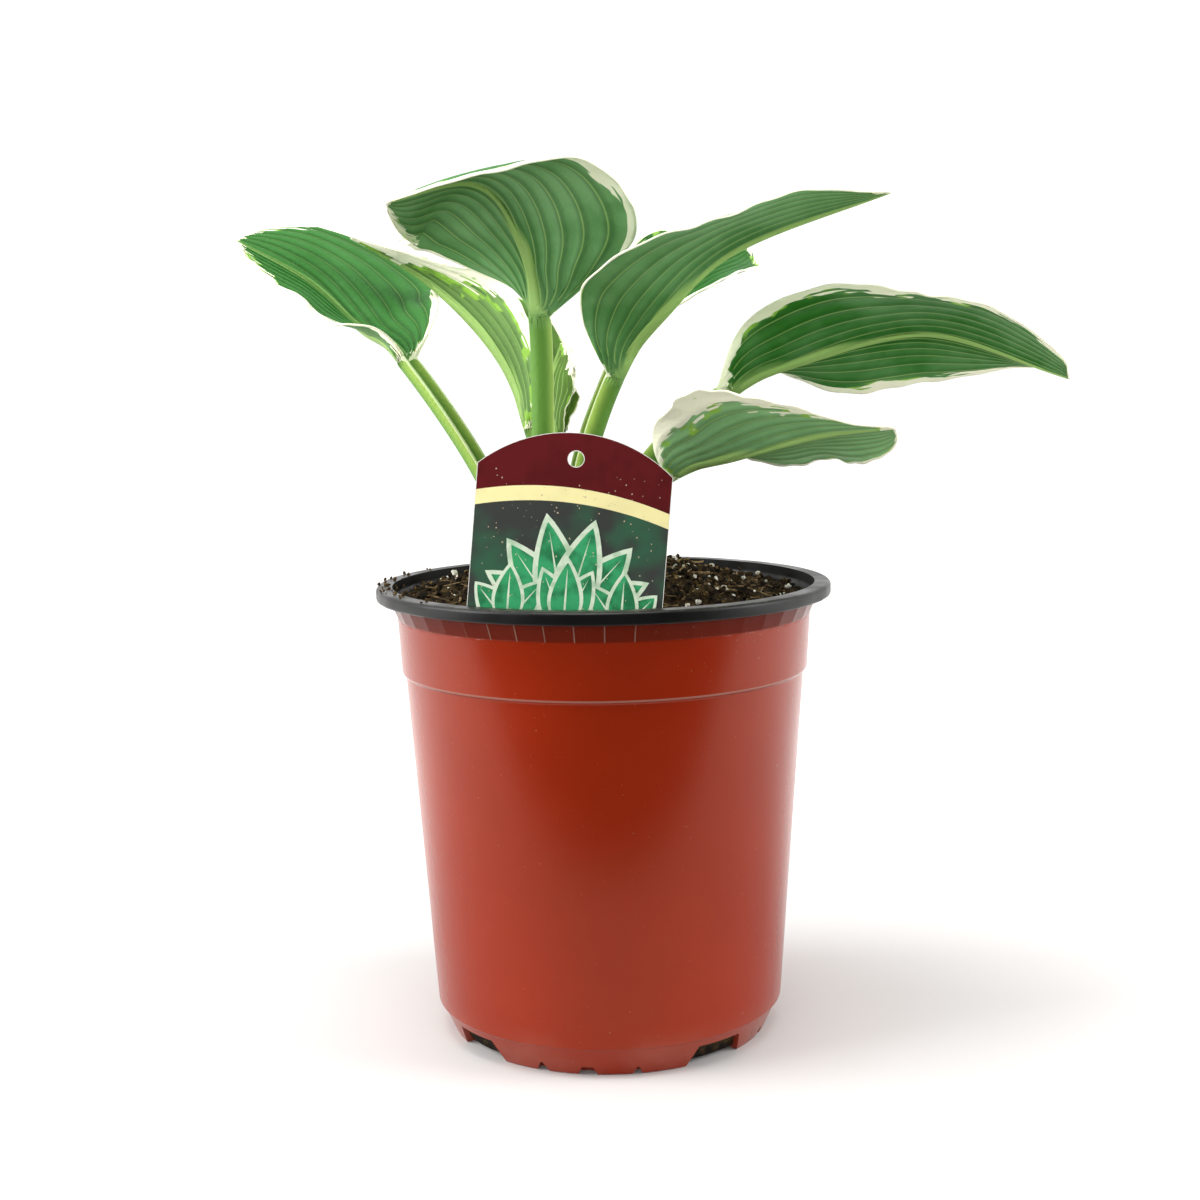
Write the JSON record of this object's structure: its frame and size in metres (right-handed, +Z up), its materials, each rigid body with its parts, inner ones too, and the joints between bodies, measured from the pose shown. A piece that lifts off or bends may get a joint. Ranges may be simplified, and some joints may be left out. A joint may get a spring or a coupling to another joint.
{
  "type": "potted hosta plant",
  "caption": "Hosta with broad ribbed, cream-edged leaves on channelled stalks, in soil in a tapered round nursery pot with a plant tag.",
  "frame": {"origin": "centre of the bounding box at the height of the pot's feet", "axes": "+Z up along the pot's axis, front with the plant tag towards -Y, +X to the right seen from the front"},
  "size_m": [0.3016, 0.1708, 0.3103],
  "materials": {
    "pot": "smooth brick-red polypropylene outside with a black inner layer and black rolled rim, slightly glossy, scuffed",
    "soil": "dark brown peat potting mix with white perlite grains and bark fibres, matte",
    "tag": "thin printed plastic card, maroon header, cream band and green leaf motif on a dark ground, satin",
    "leaf": "living leaf, mid to deep green with an irregular cream margin, satin above and duller blue-green below"
  },
  "bodies": {
    "root": {"pot": "pot", "soil": "soil", "tag": "tag", "leaf_left": "leaf", "leaf_left_back": "leaf", "leaf_front": "leaf", "leaf_right": "leaf", "leaf_right_back": "leaf", "leaf_far_right": "leaf", "leaf_low_right": "leaf", "leaf_young": "leaf"}
  },
  "joints": []
}
